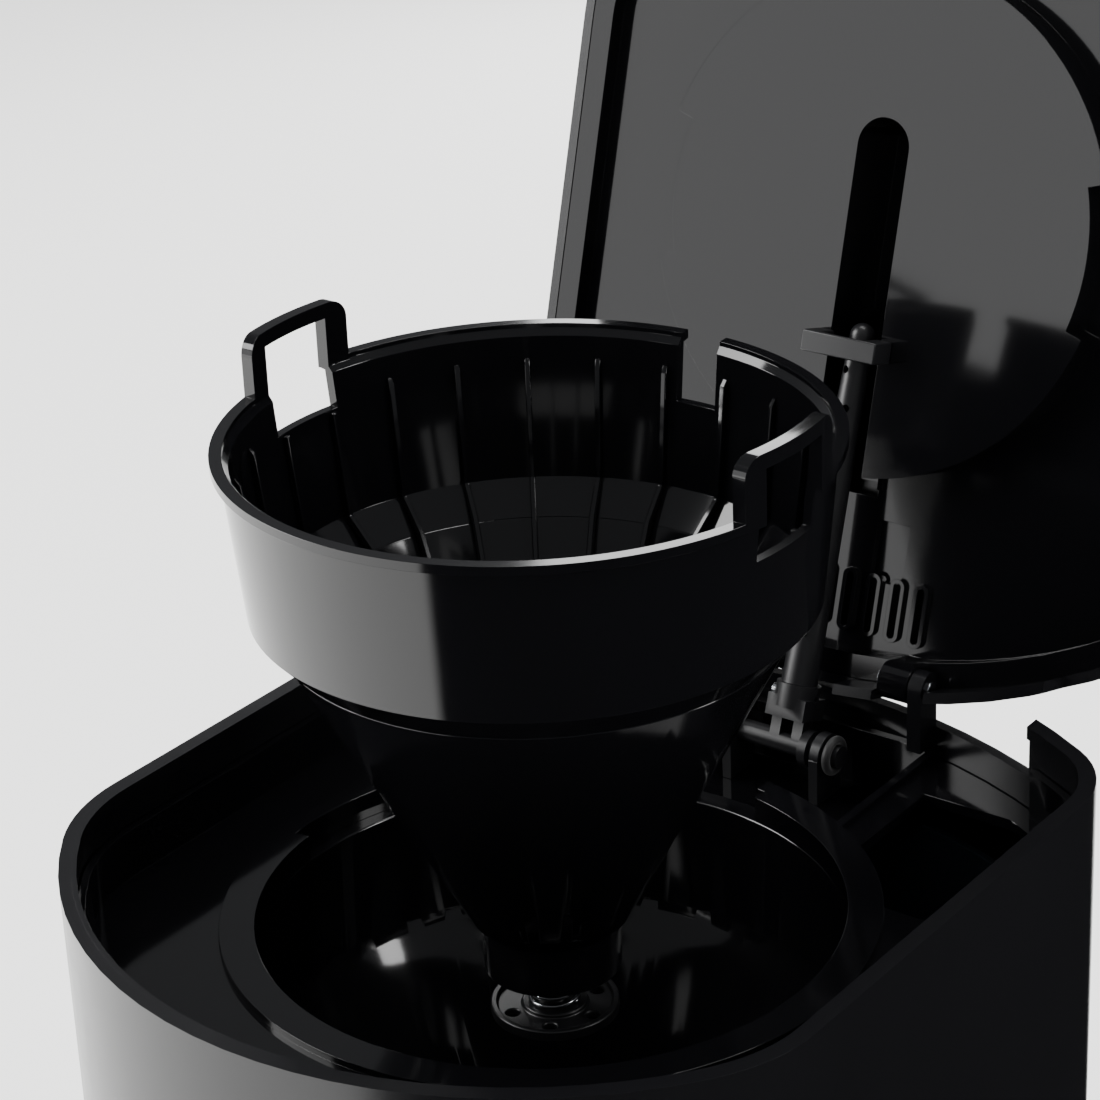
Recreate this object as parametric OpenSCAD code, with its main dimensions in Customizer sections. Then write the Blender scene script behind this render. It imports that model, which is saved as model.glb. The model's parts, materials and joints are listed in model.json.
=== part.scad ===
// Drip coffee maker with a hinged lid, a swinging spray arm and a lift-out cone basket.
// Frame: +Z up, front at -Y, origin on the bench under the centre of the brew well.
// The lid is drawn closed and turned about its hinge; the basket is drawn at its raised height.

/* [Body] */
// Width of the body
body_w = 177; // [170:1:214]
// Distance from the well's centre to the front
front_r = 100; // [96:1:120]
// Distance from the well's centre to the back
rear_y = 107; // [104:1:128]
// Radius of the back's curve
rear_r = 150; // [140:1:220]
// Radius of the front corners
front_corner_r = 40; // [30:1:44]
// Radius of the back corners
rear_corner_r = 24; // [16:1:30]
// Wall of the body mouldings
wall = 2.6; // [2.2:0.1:3.2]
// Height of the base housing's top
base_top = 34; // [34:1:40]
// Clear height of the carafe bay
bay_h = 155; // [155:1:186]
// Height from the head's underside to the top of the well's seat ring
head_h = 129; // [129:1:150]
// Height of the side walls above the seat ring
rim_rise = 19; // [18:1:24]
// Radius of the carafe bay
bay_r = 68; // [67:1:70]
// Distance from the well's centre to the column's front face
column_y = 14; // [8:1:20]

/* [Well] */
// Inner radius of the seat ring
ring_in_r = 61.6; // [61.4:0.1:62]
// Outer radius of the seat ring
ring_out_r = 69; // [67:0.5:72]
// Height of the seat ring above the deck
ring_step = 1.5; // [1:0.1:3]
// Thickness of the deck
deck_t = 2.5; // [2:0.1:3]

/* [Basket] */
// Outer radius of the basket's rim
basket_r = 62.3; // [62.2:0.1:62.8]
// Wall of the basket
basket_wall = 2; // [1.6:0.1:2.4]
// Height of the straight belt under the rim
belt_h = 34; // [30:1:36]
// Height from the rim to the end of the cone
cone_h = 107; // [100:1:108]
// Height from the rim to the bottom of the nose
basket_h = 120; // [114:1:121]
// How far the basket is raised above its seat
basket_lift = 104; // [60:1:106]
// Height of the two grips above the rim
grip_h = 12.5; // [9:0.5:13]
// Width of the two grips
grip_w = 29.5; // [24:0.5:32]
// Number of ribs inside the basket
rib_count = 24; // [12:2:30]

/* [Lid] */
// Height of the hinge above the seat ring
hinge_rise = 15; // [15:0.5:16]
// Distance from the back face to the hinge
hinge_inset = 7; // [7:0.5:8]
// Angle the lid stands open past closed
lid_open = 106; // [96:1:106]
// Height of the lid's crown above the hinge
crown_rise = 23; // [23:0.5:28]
// Radius of the round drum under the lid
drum_r = 57.3; // [54:0.1:57.6]
// Width of the slot that takes the spray arm
slot_w = 13; // [12.6:0.1:15]
// Wall of the lid mouldings
lid_wall = 2.4; // [2:0.1:2.6]

/* [Spray arm] */
// Length of the arm from its pivot
arm_len = 97; // [94:1:98]
// Radius of the arm at its socket
arm_base_r = 4.2; // [3.8:0.1:4.3]
// Radius of the arm at its tip
arm_tip_r = 2.8; // [2.4:0.1:3]
// Lean of the arm behind upright while the lid is open
arm_lean = 20; // [19:0.5:20.5]
// Radius of the water tube that the arm swings on
tube_r = 2.6; // [2.2:0.1:2.8]

/* [Carafe] */
// Greatest radius of the glass
carafe_r = 62; // [56:1:63]
// Height of the glass
glass_h = 128; // [120:1:129]
// Thickness of the glass
glass_t = 2.2; // [1.8:0.1:2.8]
// Radius of the warming plate
plate_r = 58; // [54:1:60]

/* [Fits] */
// Gap between parts that slide or sit in one another
gap = 0.3; // [0.25:0.05:0.35]
// Radial gap of a running fit
run_gap = 0.06; // [0.02:0.01:0.1]

/* [Hidden] */

black = "#17181a";
soft_black = "#222325";
steel = "#c9ccd0";
alu = "#a8abb0";
rubber = "#2b2b2b";
clear = "#c8dde4";

$fn = 96;

half_w = body_w / 2;
foot_h = 4;
bay_top = base_top + bay_h;
ring_z = bay_top + head_h;
rim_z = ring_z + rim_rise;
deck_z = ring_z - ring_step;
hinge_y = rear_y - hinge_inset;
hinge_z = ring_z + hinge_rise;
rear_rim_z = ring_z + 6;
notch_x = 62;
lid_play = 1;

// Outline of the body in plan, as arcs that meet smoothly, moved out by o
front_curve_r = max(front_r, half_w + 4);
front_o = [0, front_curve_r - front_r];
front_c = [half_w - front_corner_r,
    front_o.y - sqrt(pow(front_curve_r - front_corner_r, 2) - pow(half_w - front_corner_r, 2))];
rear_o = [0, rear_y - rear_r];
rear_c = [half_w - rear_corner_r,
    rear_o.y + sqrt(pow(rear_r - rear_corner_r, 2) - pow(half_w - rear_corner_r, 2))];
front_a = atan2(front_c.y - front_o.y, front_c.x);
rear_a = atan2(rear_c.y - rear_o.y, rear_c.x);

function arc(c, r, a0, a1, n) =
    [for (i = [0 : n - 1]) c + r * [cos(a0 + (a1 - a0) * i / n), sin(a0 + (a1 - a0) * i / n)]];

function outline(o = 0) = concat(
    arc(front_o, front_curve_r + o, -180 - front_a, front_a, 24),
    arc(front_c, front_corner_r + o, front_a, 0, 8),
    arc(rear_c, rear_corner_r + o, 0, rear_a, 8),
    arc(rear_o, rear_r + o, rear_a, 180 - rear_a, 16),
    arc([-rear_c.x, rear_c.y], rear_corner_r + o, 180 - rear_a, 180, 8),
    arc([-front_c.x, front_c.y], front_corner_r + o, 180, 180 - front_a, 8)
);

module plan(o, z0, z1) {
    translate([0, 0, z0]) linear_extrude(z1 - z0) polygon(outline(o));
}

module tube(r_out, r_in, z0, z1) {
    translate([0, 0, z0]) difference() {
        cylinder(r = r_out, h = z1 - z0);
        translate([0, 0, -1]) cylinder(r = r_in, h = z1 - z0 + 2);
    }
}

module block(x0, x1, y0, y1, z0, z1) {
    translate([x0, y0, z0]) cube([x1 - x0, y1 - y0, z1 - z0]);
}

module rod_x(x0, x1, y, z, r) {
    translate([x0, y, z]) rotate([0, 90, 0]) cylinder(r = r, h = x1 - x0);
}

module rod_y(x, y0, y1, z, r) {
    translate([x, y0, z]) rotate([-90, 0, 0]) cylinder(r = r, h = y1 - y0);
}

module rod_z(x, y, z0, z1, r) {
    translate([x, y, z0]) cylinder(r = r, h = z1 - z0);
}

// ---- Base ----

// Four corner feet, and a fifth under the plate that carries a full jug
foot_x = 60;
foot_ys = [-52, 62];
screw_r = 1.5;
screw_spots = [[-76, 0], [76, 0], [-68, 42], [68, 42], [-40, -74], [40, -74]];
cover_t = 2.4;
heater_r = 33;
hose_x = 36;
hose_y = 84;
hose_z = 25;
hose_bore = 3.3;
hose_wall = 1.5;
hose_bend = 14;
elbow_y = 90;
plate_z = base_top + 3;

module feet_at() {
    children();
    for (sx = [-1, 1], y = foot_ys) translate([sx * foot_x, y, 0]) children();
}

module bottom_cover() color(soft_black) difference() {
    plan(-wall - gap, foot_h, foot_h + cover_t);
    feet_at() translate([0, 0, foot_h - 1]) cylinder(r = 3 + run_gap, h = cover_t + 2);
    for (p = screw_spots) translate([p.x, p.y, foot_h - 1]) {
        cylinder(r = screw_r + 0.2, h = cover_t + 2);
        cylinder(r = 3.4, h = 2.2);
    }
    for (x = [-36, 14], i = [-3 : 3])
        block(x, x + 22, i * 9 - 1.5, i * 9 + 1.5, foot_h - 1, foot_h + cover_t + 1);
}

module rubber_feet() color(rubber) feet_at() {
    cylinder(r1 = 7.6, r2 = 9, h = foot_h - 0.02);
    translate([0, 0, 1]) cylinder(r = 3, h = foot_h + cover_t);
    translate([0, 0, foot_h + cover_t + 0.02]) cylinder(r1 = 3.9, r2 = 3, h = 1.4);
}

module cover_screws() color(steel) for (p = screw_spots) translate([p.x, p.y, foot_h]) difference() {
    union() {
        translate([0, 0, -0.6]) cylinder(r = 3.1, h = 1.7);
        cylinder(r = screw_r, h = 11);
    }
    block(-2.2, 2.2, -0.4, 0.4, -1, 0.1);
    block(-0.4, 0.4, -2.2, 2.2, -1, 0.1);
}

panel_x = 32;
panel_z0 = 11;
panel_z1 = base_top - 5;
inlet_x = 52;
inlet_r = 6;
inlet_z = 18;
inlet_y = rear_o.y + sqrt(pow(rear_r, 2) - pow(inlet_x, 2));

module base_housing() color(black) difference() {
    union() {
        difference() {
            plan(0, foot_h, base_top);
            plan(-wall, foot_h - 1, base_top - wall);
        }
        for (p = screw_spots) rod_z(p.x, p.y, foot_h + cover_t + gap, base_top - 1, 4);
    }
    for (p = screw_spots) rod_z(p.x, p.y, foot_h, foot_h + 13, screw_r + run_gap);
    rod_z(0, 0, base_top - wall - 1, base_top + 1, plate_r + 1.2);
    block(-hose_x - 9, hose_x + 9, 68, 98, base_top - wall - 1, base_top + 1);
    block(-panel_x, panel_x, -front_r - 2, -front_r + 12, panel_z0, panel_z1);
    rod_y(inlet_x, inlet_y - 12, inlet_y + 6, inlet_z, inlet_r + 0.1);
}

// Curved panel that fills the window in the base's front
rocker_x = -12;
rocker_w = 19;
rocker_h = 12.4;
panel_mid = (panel_z0 + panel_z1) / 2;
lens_x = 14;
lens_r = 2.6;

module control_panel() color("#3a3c40") difference() {
    intersection() {
        translate([0, front_o.y, 0])
            tube(front_curve_r + 0.8, front_curve_r - 3, panel_z0 + 0.2, panel_z1 - 0.2);
        block(-panel_x + 0.2, panel_x - 0.2, -front_r - 3, -60, panel_z0, panel_z1);
    }
    block(rocker_x - rocker_w / 2, rocker_x + rocker_w / 2, -front_r - 3, -80,
        panel_mid - rocker_h / 2, panel_mid + rocker_h / 2);
    rod_y(lens_x, -front_r - 3, -80, panel_mid, lens_r + run_gap);
}

rocker_y = -front_r + 8;
rocker_pin_r = 1.2;

// Drawn pressed at its upper half, the off position
module power_rocker() color("#b3202a") translate([rocker_x, rocker_y, panel_mid])
    rotate([-7, 0, 0]) difference() {
    union() {
        intersection() {
            rod_x(-rocker_w / 2 + gap, rocker_w / 2 - gap, 0, 0, 8.6);
            block(-panel_x, panel_x, -12, -0.4, -rocker_h / 2 + 1.4, rocker_h / 2 - 1.4);
        }
        rod_x(-rocker_w / 2 + gap, rocker_w / 2 - gap, 0, 0, 2.4);
    }
    rod_x(-rocker_w / 2 + 1.6, rocker_w / 2 - 1.6, -15.4, 0, 7.8);
    rod_x(-rocker_w, rocker_w, 0, 0, rocker_pin_r + run_gap);
}

module switch_module() color(soft_black) {
    difference() {
        block(rocker_x - 13, rocker_x + 13, rocker_y - 1.4, rocker_y + 20, panel_mid - 7.4, panel_mid + 7.4);
        block(rocker_x - rocker_w / 2, rocker_x + rocker_w / 2, rocker_y - 3, rocker_y + 5,
            panel_mid - 6.4, panel_mid + 6.4);
    }
    rod_x(rocker_x - rocker_w / 2 - 0.1, rocker_x + rocker_w / 2 + 0.1, rocker_y, panel_mid, rocker_pin_r);
    for (x = [-6, 6]) block(rocker_x + x - 2.4, rocker_x + x + 2.4, rocker_y + 19, rocker_y + 27,
        panel_mid - 0.4, panel_mid + 0.4);
}

module indicator_lens() color("#e8902a") {
    translate([lens_x, front_o.y - sqrt(pow(front_curve_r + 0.8, 2) - pow(lens_x, 2)) + 0.2, panel_mid])
        rotate([90, 0, 0])
        intersection() {
            cylinder(r = lens_r, h = 8, center = true);
            translate([0, 0, -5.6]) sphere(r = 7);
        }
    rod_y(lens_x, -front_r + 2, -front_r + 16, panel_mid, 2);
}

module cord_inlet() color(rubber) difference() {
    union() {
        rod_y(inlet_x, inlet_y - 9, inlet_y + 5, inlet_z, inlet_r);
        rod_y(inlet_x, inlet_y + 3.3, inlet_y + 5.3, inlet_z, inlet_r + 2);
        rod_y(inlet_x, inlet_y - 9.6, inlet_y - 7.4, inlet_z, inlet_r + 2);
    }
    rod_y(inlet_x, inlet_y - 20, inlet_y + 20, inlet_z, 3.6);
}

module warming_plate() color("#26272a") rotate_extrude() polygon([
    [0, plate_z - 1.4], [0, plate_z - 0.2], [plate_r - 12, plate_z - 0.2], [plate_r - 9, plate_z + 0.9],
    [plate_r - 1.2, plate_z + 0.9], [plate_r, plate_z - 0.4], [plate_r, base_top - 2],
    [plate_r - 1.2, base_top - 2],
    [plate_r - 1.2, plate_z - 0.9], [plate_r - 9, plate_z - 0.5], [plate_r - 12, plate_z - 1.4]
]);

module plate_seal() color(rubber) rotate_extrude() polygon([
    [plate_r + 0.05, base_top - wall - 0.3], [plate_r + 1.1, base_top - wall - 0.3],
    [plate_r + 1.1, base_top + 0.05], [plate_r + 3, base_top + 0.05], [plate_r + 2.4, base_top + 1.1],
    [plate_r + 0.05, base_top + 1.4]
]);

// The flow-through heater: a U casting that holds a water tube and a sheathed element side by side
casting_z = 24;
element_r = 26;
leg_y = 34;

module u_run(r_path, r, y_end) {
    translate([0, 0, casting_z]) {
        rotate_extrude(angle = 180, start = 180) translate([r_path, 0]) circle(r = r);
        for (sx = [-1, 1]) translate([sx * r_path, 0, 0]) rotate([-90, 0, 0]) cylinder(r = r, h = y_end);
    }
}

module u_section() {
    translate([0, 0, casting_z]) {
        rotate_extrude(angle = 180, start = 180) translate([21.5, -6])
            square([20.5, plate_z - 1.45 + 6 - casting_z]);
        for (x = [-42, 21.5]) block(x, x + 20.5, 0, leg_y, -6, plate_z - 1.45 - casting_z);
    }
}

module heater_casting() color(alu) difference() {
    u_section();
    u_run(hose_x, 4.4, 60);
    u_run(element_r, 3.3, 60);
}

module water_tube() color(alu) difference() {
    u_run(hose_x, 4.34, 50);
    u_run(hose_x, 3.2, 60);
}

module heating_element() color("#77797d") {
    u_run(element_r, 3.24, 42);
    for (sx = [-1, 1]) rod_y(sx * element_r, 41, 48, casting_z, 1.1);
}

module heater_strap() color(steel) difference() {
    union() {
        block(-46, 46, 8, 20, casting_z - 8, casting_z - 6.05);
        rod_z(0, 14, casting_z - 11, plate_z - 1.45, 2.4);
        translate([0, 14, casting_z - 11]) cylinder(r = 4.6, h = 3.5, $fn = 6);
    }
}

module thermostat() color(steel) {
    rod_z(0, -32, casting_z - 13, casting_z - 6.05, 8.2);
    for (sx = [-1, 1]) block(sx * 5 - 1.6, sx * 5 + 1.6, -27, -17,
        casting_z - 11, casting_z - 10);
}

module thermal_fuses() color("#d8cfae") for (sx = [-1, 1]) {
    rod_y(sx * 31, 22, 30, casting_z - 9.6, 2.2);
    rod_y(sx * 31, 16, 34, casting_z - 9.6, 0.6);
}

// A hose runs back from the heater, bends up and climbs behind the carafe bay
module hose_path(r, x, z_top) {
    rod_y(x, leg_y + 6, elbow_y - hose_bend, casting_z, r);
    translate([x, elbow_y - hose_bend, casting_z + hose_bend]) rotate([0, 90, 0]) rotate([0, 0, 0])
        rotate_extrude(angle = 90, start = 0) translate([hose_bend, 0]) circle(r = r);
    rod_z(x, elbow_y, casting_z + hose_bend, z_top, r);
}

module hose(x, z_top) difference() {
    hose_path(4.4 + hose_wall, x, z_top);
    union() {
        rod_y(x, leg_y, elbow_y - hose_bend, casting_z, 4.38);
        translate([x, elbow_y - hose_bend, casting_z + hose_bend]) rotate([0, 90, 0])
            rotate_extrude(angle = 90, start = 0) translate([hose_bend, 0]) circle(r = 4.38);
        rod_z(x, elbow_y, casting_z + hose_bend, z_top + 1, 4.38);
    }
}

tank_z = 66;
tank_floor = 2.2;
trough_z = ring_z - 16;
elbow_leg_z = trough_z - 10;

module cold_hose() color("#b9b6ae") hose(hose_x, tank_z - 2);

module riser_hose() color("#b9b6ae") hose(-hose_x, elbow_leg_z + 8);

module clamp_at(pos, turn) translate(pos) rotate(turn) {
    difference() {
        cylinder(r = 6.9, h = 4, center = true);
        cylinder(r = 4.4 + hose_wall + 0.03, h = 6, center = true);
    }
    translate([0, 8.1, 0]) cube([3.4, 3, 3.2], center = true);
}

module hose_clamps() color(steel) {
    for (sx = [-1, 1]) clamp_at([sx * hose_x, leg_y + 10, casting_z], [-90, 0, 0]);
    clamp_at([hose_x, elbow_y, tank_z - 6], [0, 0, 180]);
    clamp_at([-hose_x, elbow_y, elbow_leg_z + 4], [0, 0, 180]);
}

// The check valve hangs in the tank's outlet and lets water run to the heater only
ball_r = 2.6;

module check_valve() color("#d9d6cc") {
    difference() {
        union() {
            rod_z(hose_x, elbow_y, tank_z - 14, tank_z + tank_floor + 0.5, 4.34);
            rod_z(hose_x, elbow_y, tank_z + tank_floor + 0.05, tank_z + tank_floor + 4, 5.6);
        }
        rod_z(hose_x, elbow_y, tank_z - 9.5, tank_z + tank_floor + 5, 3.2);
        rod_z(hose_x, elbow_y, tank_z - 15, tank_z, 1.7);
    }
}

module check_ball() color(steel) translate([hose_x, elbow_y, tank_z - 7.2]) sphere(r = ball_r);

module terminal_block() color("#e4e1d8") difference() {
    block(14, 44, 56, 68, foot_h + cover_t + 0.1, foot_h + cover_t + 9);
    for (i = [0 : 2]) rod_z(19 + i * 10, 62, foot_h + cover_t + 3, 30, 2);
}

// ---- Column and tank ----

window_x0 = 73.5;
window_x1 = 81;
window_z0 = 78;
window_z1 = bay_top - 12;

module behind(y) {
    block(-200, 200, y, 300, 0, 600);
}

module column_ring(o_out, y_out, r_out, z0, z1) difference() {
    intersection() {
        plan(o_out, z0, z1);
        behind(y_out);
    }
    rod_z(0, 0, z0 - 1, z1 + 1, r_out);
}

module column_housing() color(black) difference() {
    column_ring(0, column_y, bay_r, base_top, bay_top);
    column_ring(-wall, column_y + wall, bay_r + wall, base_top - 1, bay_top + 1);
    block(window_x0, window_x1, column_y - 1, column_y + wall + 1, window_z0, window_z1);
}

module level_window() color(clear, 0.6) {
    block(window_x0 + 0.1, window_x1 - 0.1, column_y - 0.5, column_y + wall,
        window_z0 + 0.1, window_z1 - 0.1);
    block(window_x0 + 0.1, window_x1 - 0.1, column_y + wall - 0.5, column_y + wall + 0.1,
        window_z0 + 0.1, window_z1 - 0.1);
    block(window_x0 - 1.2, window_x1 + 1.2, column_y + wall + 0.05, column_y + wall + 1.2,
        window_z0 - 2, window_z1 + 2);
}

tank_t = 2;
tank_o = -wall - 1.6;
tank_top = trough_z - 2;

module tank_shape(inset, z0, z1) difference() {
    column_ring(tank_o - inset, column_y + wall + 2 + inset, bay_r + wall + 1.6 + inset, z0, z1);
    block(-hose_x - 8 - inset, -hose_x + 8 + inset, elbow_y - 11.5 - inset, 200, z0 - 1, z1 + 1);
}

module water_tank() color("#5d6468") difference() {
    tank_shape(0, tank_z, tank_top);
    tank_shape(tank_t, tank_z + tank_floor, tank_top + 1);
    rod_z(hose_x, elbow_y, tank_z - 1, tank_z + 5, 4.4);
}

// ---- Head ----

ear_x0 = 28.2;
ear_x1 = 31.7;
ear_r = 4;
pin_r = 2;
deck_seat_z = deck_z - deck_t;
outlet_r = 16.5;

// The left and right blocks that hold the lid's pins
module ears() for (x = [-ear_x1, ear_x0]) intersection() {
    plan(-0.5, ring_z, rim_z);
    union() {
        rod_x(x, x + ear_x1 - ear_x0, hinge_y, hinge_z, ear_r);
        block(x, x + ear_x1 - ear_x0, hinge_y - 4, hinge_y + 3, ring_z + 0.6, hinge_z);
        block(x, x + ear_x1 - ear_x0, hinge_y - 4, rear_y, ring_z + 0.6, rear_rim_z - 0.3);
    }
}

module head_housing() color(black) difference() {
    union() {
        difference() {
            plan(0, bay_top + 0.02, rim_z);
            plan(-wall, bay_top + wall, rim_z + 1);
            block(-notch_x, notch_x, 60, 200, rear_rim_z, rim_z + 1);
        }
        difference() {
            plan(-0.5, rim_z - 3, rim_z - 0.01);
            plan(-wall - 1.1, rim_z - 4, rim_z + 1);
            block(-notch_x, notch_x, 60, 200, rear_rim_z, rim_z + 1);
        }
        difference() {
            plan(-0.5, deck_seat_z - 2.5, deck_seat_z - 0.02);
            plan(-wall - 3, deck_seat_z - 3, deck_seat_z + 1);
            difference() {
                block(-52, 52, 80, 200, deck_seat_z - 3, deck_seat_z + 1);
                difference() {
                    plan(2, deck_seat_z - 4, deck_seat_z + 2);
                    plan(-wall, deck_seat_z - 5, deck_seat_z + 3);
                }
            }
        }
        ears();
    }
    rod_x(-40, 40, hinge_y, hinge_z, pin_r + 0.01);
    rod_z(0, 0, bay_top - 1, bay_top + wall + 1, outlet_r);
    column_ring(-wall, column_y + wall, bay_r + wall, bay_top - 1, bay_top + wall + 1);
}

trough_x0 = -46;
trough_x1 = 31.5;
trough_y1 = rear_y - 7;
trough_t = 2;
fill_x0 = 40;
fill_x1 = half_w - 9;
fill_y0 = 38;
fill_y1 = 84;

// Angles between which the seat ring stands at its full width
ring_a0 = 185;
ring_a1 = 440;
arm_way = 9;

module ring_part(r_in, r_out, z0, z1, a0, a1) {
    translate([0, 0, z0]) rotate_extrude(angle = a1 - a0, start = a0)
        translate([r_in, 0]) square([r_out - r_in, z1 - z0]);
}

module trough_room() intersection() {
    block(trough_x0, trough_x1, 40, trough_y1, trough_z + trough_t, ring_z + 1);
    plan(-wall - gap - trough_t, trough_z, ring_z + 2);
}

module top_deck() color(black) difference() {
    union() {
        difference() {
            union() {
                plan(-wall - gap, deck_seat_z, deck_z);
                difference() {
                    plan(-wall - gap, deck_z - 0.5, ring_z + 9.5);
                    plan(-wall - gap - 1.7, deck_z - 1, ring_z + 10);
                    block(-notch_x - 2, notch_x + 2, 60, 200, deck_z, rim_z);
                }
                difference() {
                    intersection() {
                        block(trough_x0 - trough_t, trough_x1 + trough_t, 50, trough_y1 + trough_t,
                            trough_z, ring_z);
                        plan(-wall - gap, trough_z - 1, ring_z + 1);
                    }
                    trough_room();
                }
            }
            rod_z(0, 0, 0, 600, ring_out_r - 0.5);
            trough_room();
            intersection() {
                block(fill_x0, fill_x1, fill_y0, fill_y1, deck_seat_z - 1, ring_z + 1);
                plan(-wall - gap - 6, deck_seat_z - 2, ring_z + 2);
            }
        }
        ring_part(ring_in_r, ring_out_r, deck_seat_z - 2, ring_z, ring_a0, ring_a1);
        ring_part(ring_out_r - 4, ring_out_r, deck_seat_z - 2, ring_z, ring_a1 - 362, ring_a0 + 2);
    }
    block(-arm_way, arm_way, 40, trough_y1, ring_z - 9, ring_z + 10);
    rod_z(-hose_x, elbow_y, trough_z - 1, trough_z + trough_t + 1, 4.5);
}

// The well follows the basket's outside with room for it to drop in
well_t = 2;
well_top = deck_seat_z - 2.02;
belt_low = ring_z + 2.2 - belt_h;
cone_low = ring_z + 2.2 - cone_h;

module brew_well() color(black) rotate_extrude() polygon([
    [ring_in_r, well_top], [ring_in_r, belt_low - 2], [ring_in_r - 5, belt_low - 10],
    [21.5, cone_low - 2], [21.5, bay_top + wall + 5], [17.6, bay_top + wall + 1.6],
    [17.6, bay_top + wall + 0.05], [24, bay_top + wall + 0.05], [24, cone_low - 3.5],
    [ring_in_r - 2.8, belt_low - 12], [ring_in_r + well_t, belt_low - 4],
    [ring_in_r + well_t, well_top - 2], [ring_in_r + 5, well_top - 2], [ring_in_r + 5, well_top]
]);

pivot_y = hinge_y - 9;
pivot_z = ring_z - 3;
saddle_x = [-15, 8.4];
elbow_x = -hose_x;

module riser_elbow() color(soft_black) difference() {
    union() {
        rod_x(elbow_x - 4.4, -18, pivot_y, pivot_z, 4.6);
        rod_z(elbow_x, elbow_y, elbow_leg_z, pivot_z, 4.34);
    }
    rod_x(-24, -17, pivot_y, pivot_z, tube_r + run_gap);
    rod_x(elbow_x, -23, pivot_y, pivot_z, 2);
    rod_z(elbow_x, elbow_y, elbow_leg_z - 1, pivot_z, 2.6);
}

module arm_saddles() color(black) for (x = saddle_x) difference() {
    union() {
        block(x, x + 2.4, pivot_y - 5, min(pivot_y + 5, trough_y1 - gap),
            trough_z + trough_t + 0.02, pivot_z);
        rod_x(x, x + 2.4, pivot_y, pivot_z, 4.8);
    }
    rod_x(x - 1, x + 4, pivot_y, pivot_z, tube_r + run_gap);
}

module hinge_pins() color(steel) for (sx = [-1, 1])
    rod_x(min(sx * 19, sx * (ear_x1 + 0.6)), max(sx * 19, sx * (ear_x1 + 0.6)), hinge_y, hinge_z, pin_r);

// ---- Lid, drawn closed ----

lid_z = rim_z + gap + 0.1;
crown_r = 700;
face_z = hinge_z;
inner_z = hinge_z + 9;
slot_tip_y = -23;
notch_r = 53.2;
louvre_pitch = 6.2;
skirt_z = hinge_z - 5;
knuckle_x0 = 20.5;
knuckle_x1 = 27.8;

module open_lid() {
    translate([0, hinge_y, hinge_z]) rotate([-lid_open, 0, 0]) translate([0, -hinge_y, -hinge_z]) children();
}

module crown(t) {
    translate([0, 0, hinge_z + crown_rise - crown_r]) sphere(r = crown_r - t, $fn = 240);
}

module rear_skirt_zone(x1) {
    block(-x1, x1, 60, 200, rear_rim_z + gap + 0.1, lid_z + 1);
}

module lid_outer() color(black) open_lid() {
    difference() {
        union() {
            intersection() {
                union() {
                    plan(-lid_play, lid_z, hinge_z + crown_rise + 1);
                    intersection() {
                        plan(-lid_play, skirt_z, lid_z + 1);
                        rear_skirt_zone(notch_x - 0.6);
                    }
                }
                crown(0);
            }
            intersection() {
                translate([0, front_o.y, 0]) tube(front_curve_r + 3.4, front_curve_r - 3, lid_z + 2, lid_z + 5);
                block(-20, 20, -140, -80, 0, 600);
            }
        }
        intersection() {
            plan(-lid_play - lid_wall, rear_rim_z - 1, hinge_z + crown_rise + 1);
            crown(lid_wall);
        }
        block(-arm_way - 1, arm_way + 1, 80, 200, rear_rim_z - 1, lid_z);
        for (sx = [-1, 1]) block(min(sx * (knuckle_x0 - 0.6), sx * (ear_x1 + 1.2)),
            max(sx * (knuckle_x0 - 0.6), sx * (ear_x1 + 1.2)), 80, 200, rear_rim_z - 1, hinge_z + 5);
    }
    for (p = lid_bosses) rod_z(p.x, p.y, inner_z + 2.4, hinge_z + crown_rise - 6, 3.4);
}

lid_bosses = [[-66, 46], [66, 46], [-62, -50], [62, -50]];

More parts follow.
